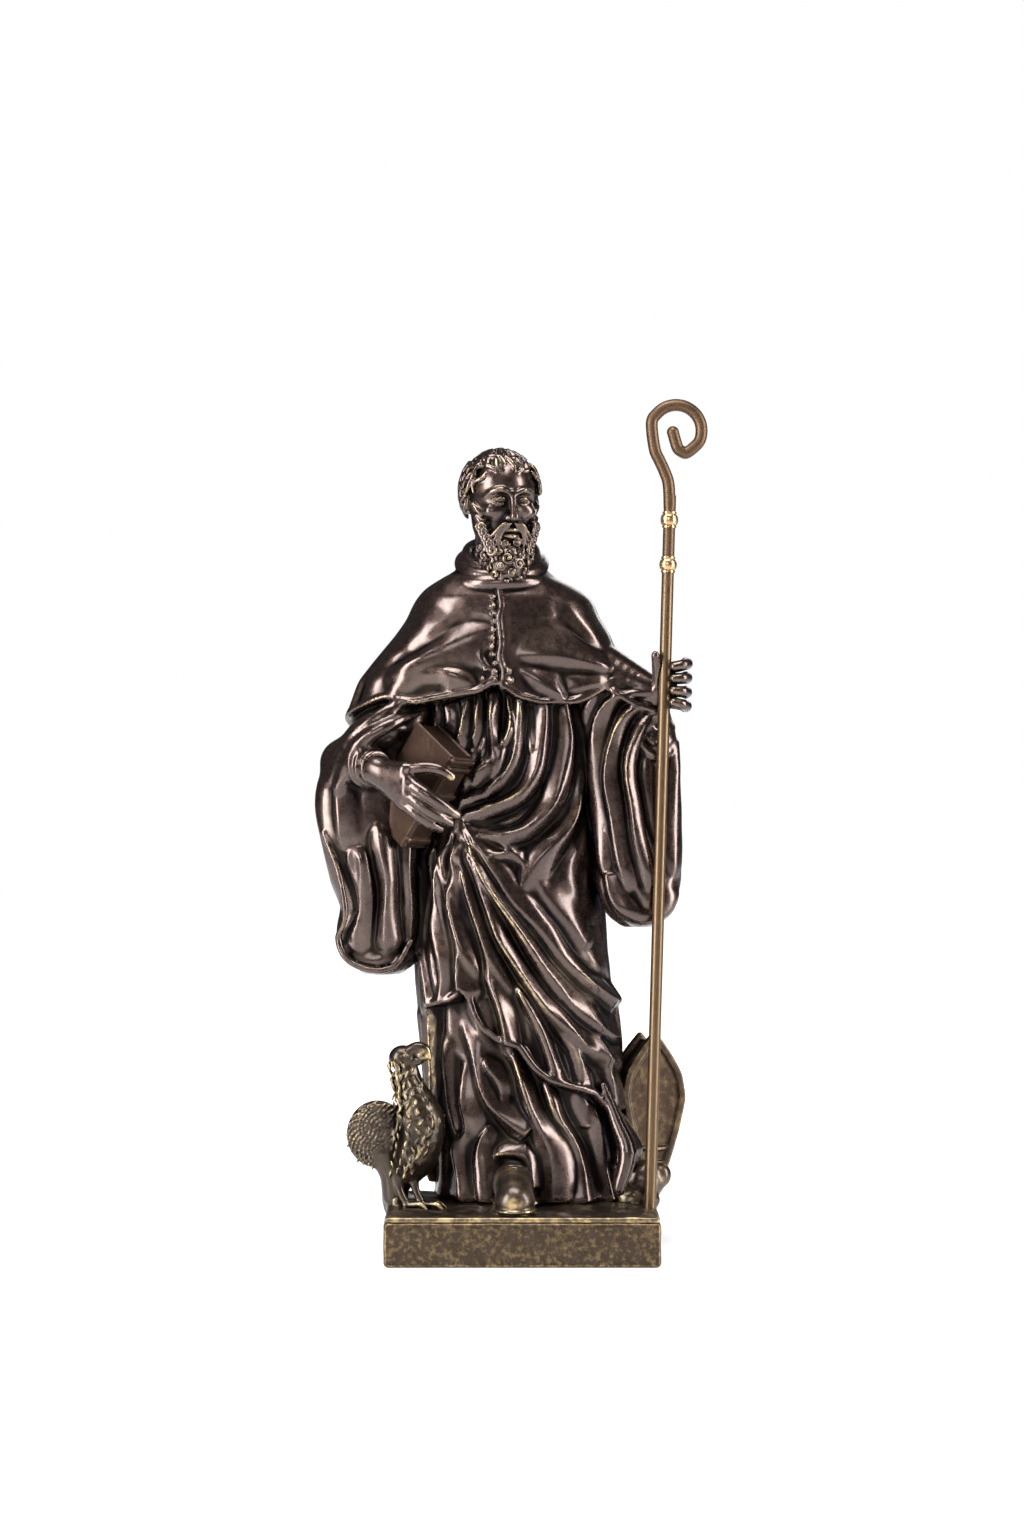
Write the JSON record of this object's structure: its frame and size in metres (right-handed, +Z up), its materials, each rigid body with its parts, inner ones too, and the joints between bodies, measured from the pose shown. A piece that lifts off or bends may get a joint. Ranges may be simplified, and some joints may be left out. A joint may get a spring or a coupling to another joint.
{
  "type": "statuette",
  "caption": "Small bronze statue of a bearded monk in cowl and hooded cape, with book, crosier, raven and mitre, on a rectangular plinth.",
  "frame": {"origin": "middle of the plinth's underside", "axes": "+Z up; the front of the statue faces -Y; +X is to the right of the front view"},
  "size_m": [0.129, 0.068, 0.2833],
  "materials": {
    "plinth_bronze": "olive bronze, mottled, with rubbed brass edges",
    "dark_bronze": "dark brown patinated bronze, polished, crests rubbed to brass",
    "aged_brass": "aged brass rod, satin",
    "bright_brass": "polished brass"
  },
  "bodies": {
    "root": {"plinth": "plinth_bronze", "cast_statue": "dark_bronze", "crosier_staff": "aged_brass", "crosier_knop_lower": "bright_brass", "crosier_knop_upper": "bright_brass"}
  },
  "joints": []
}
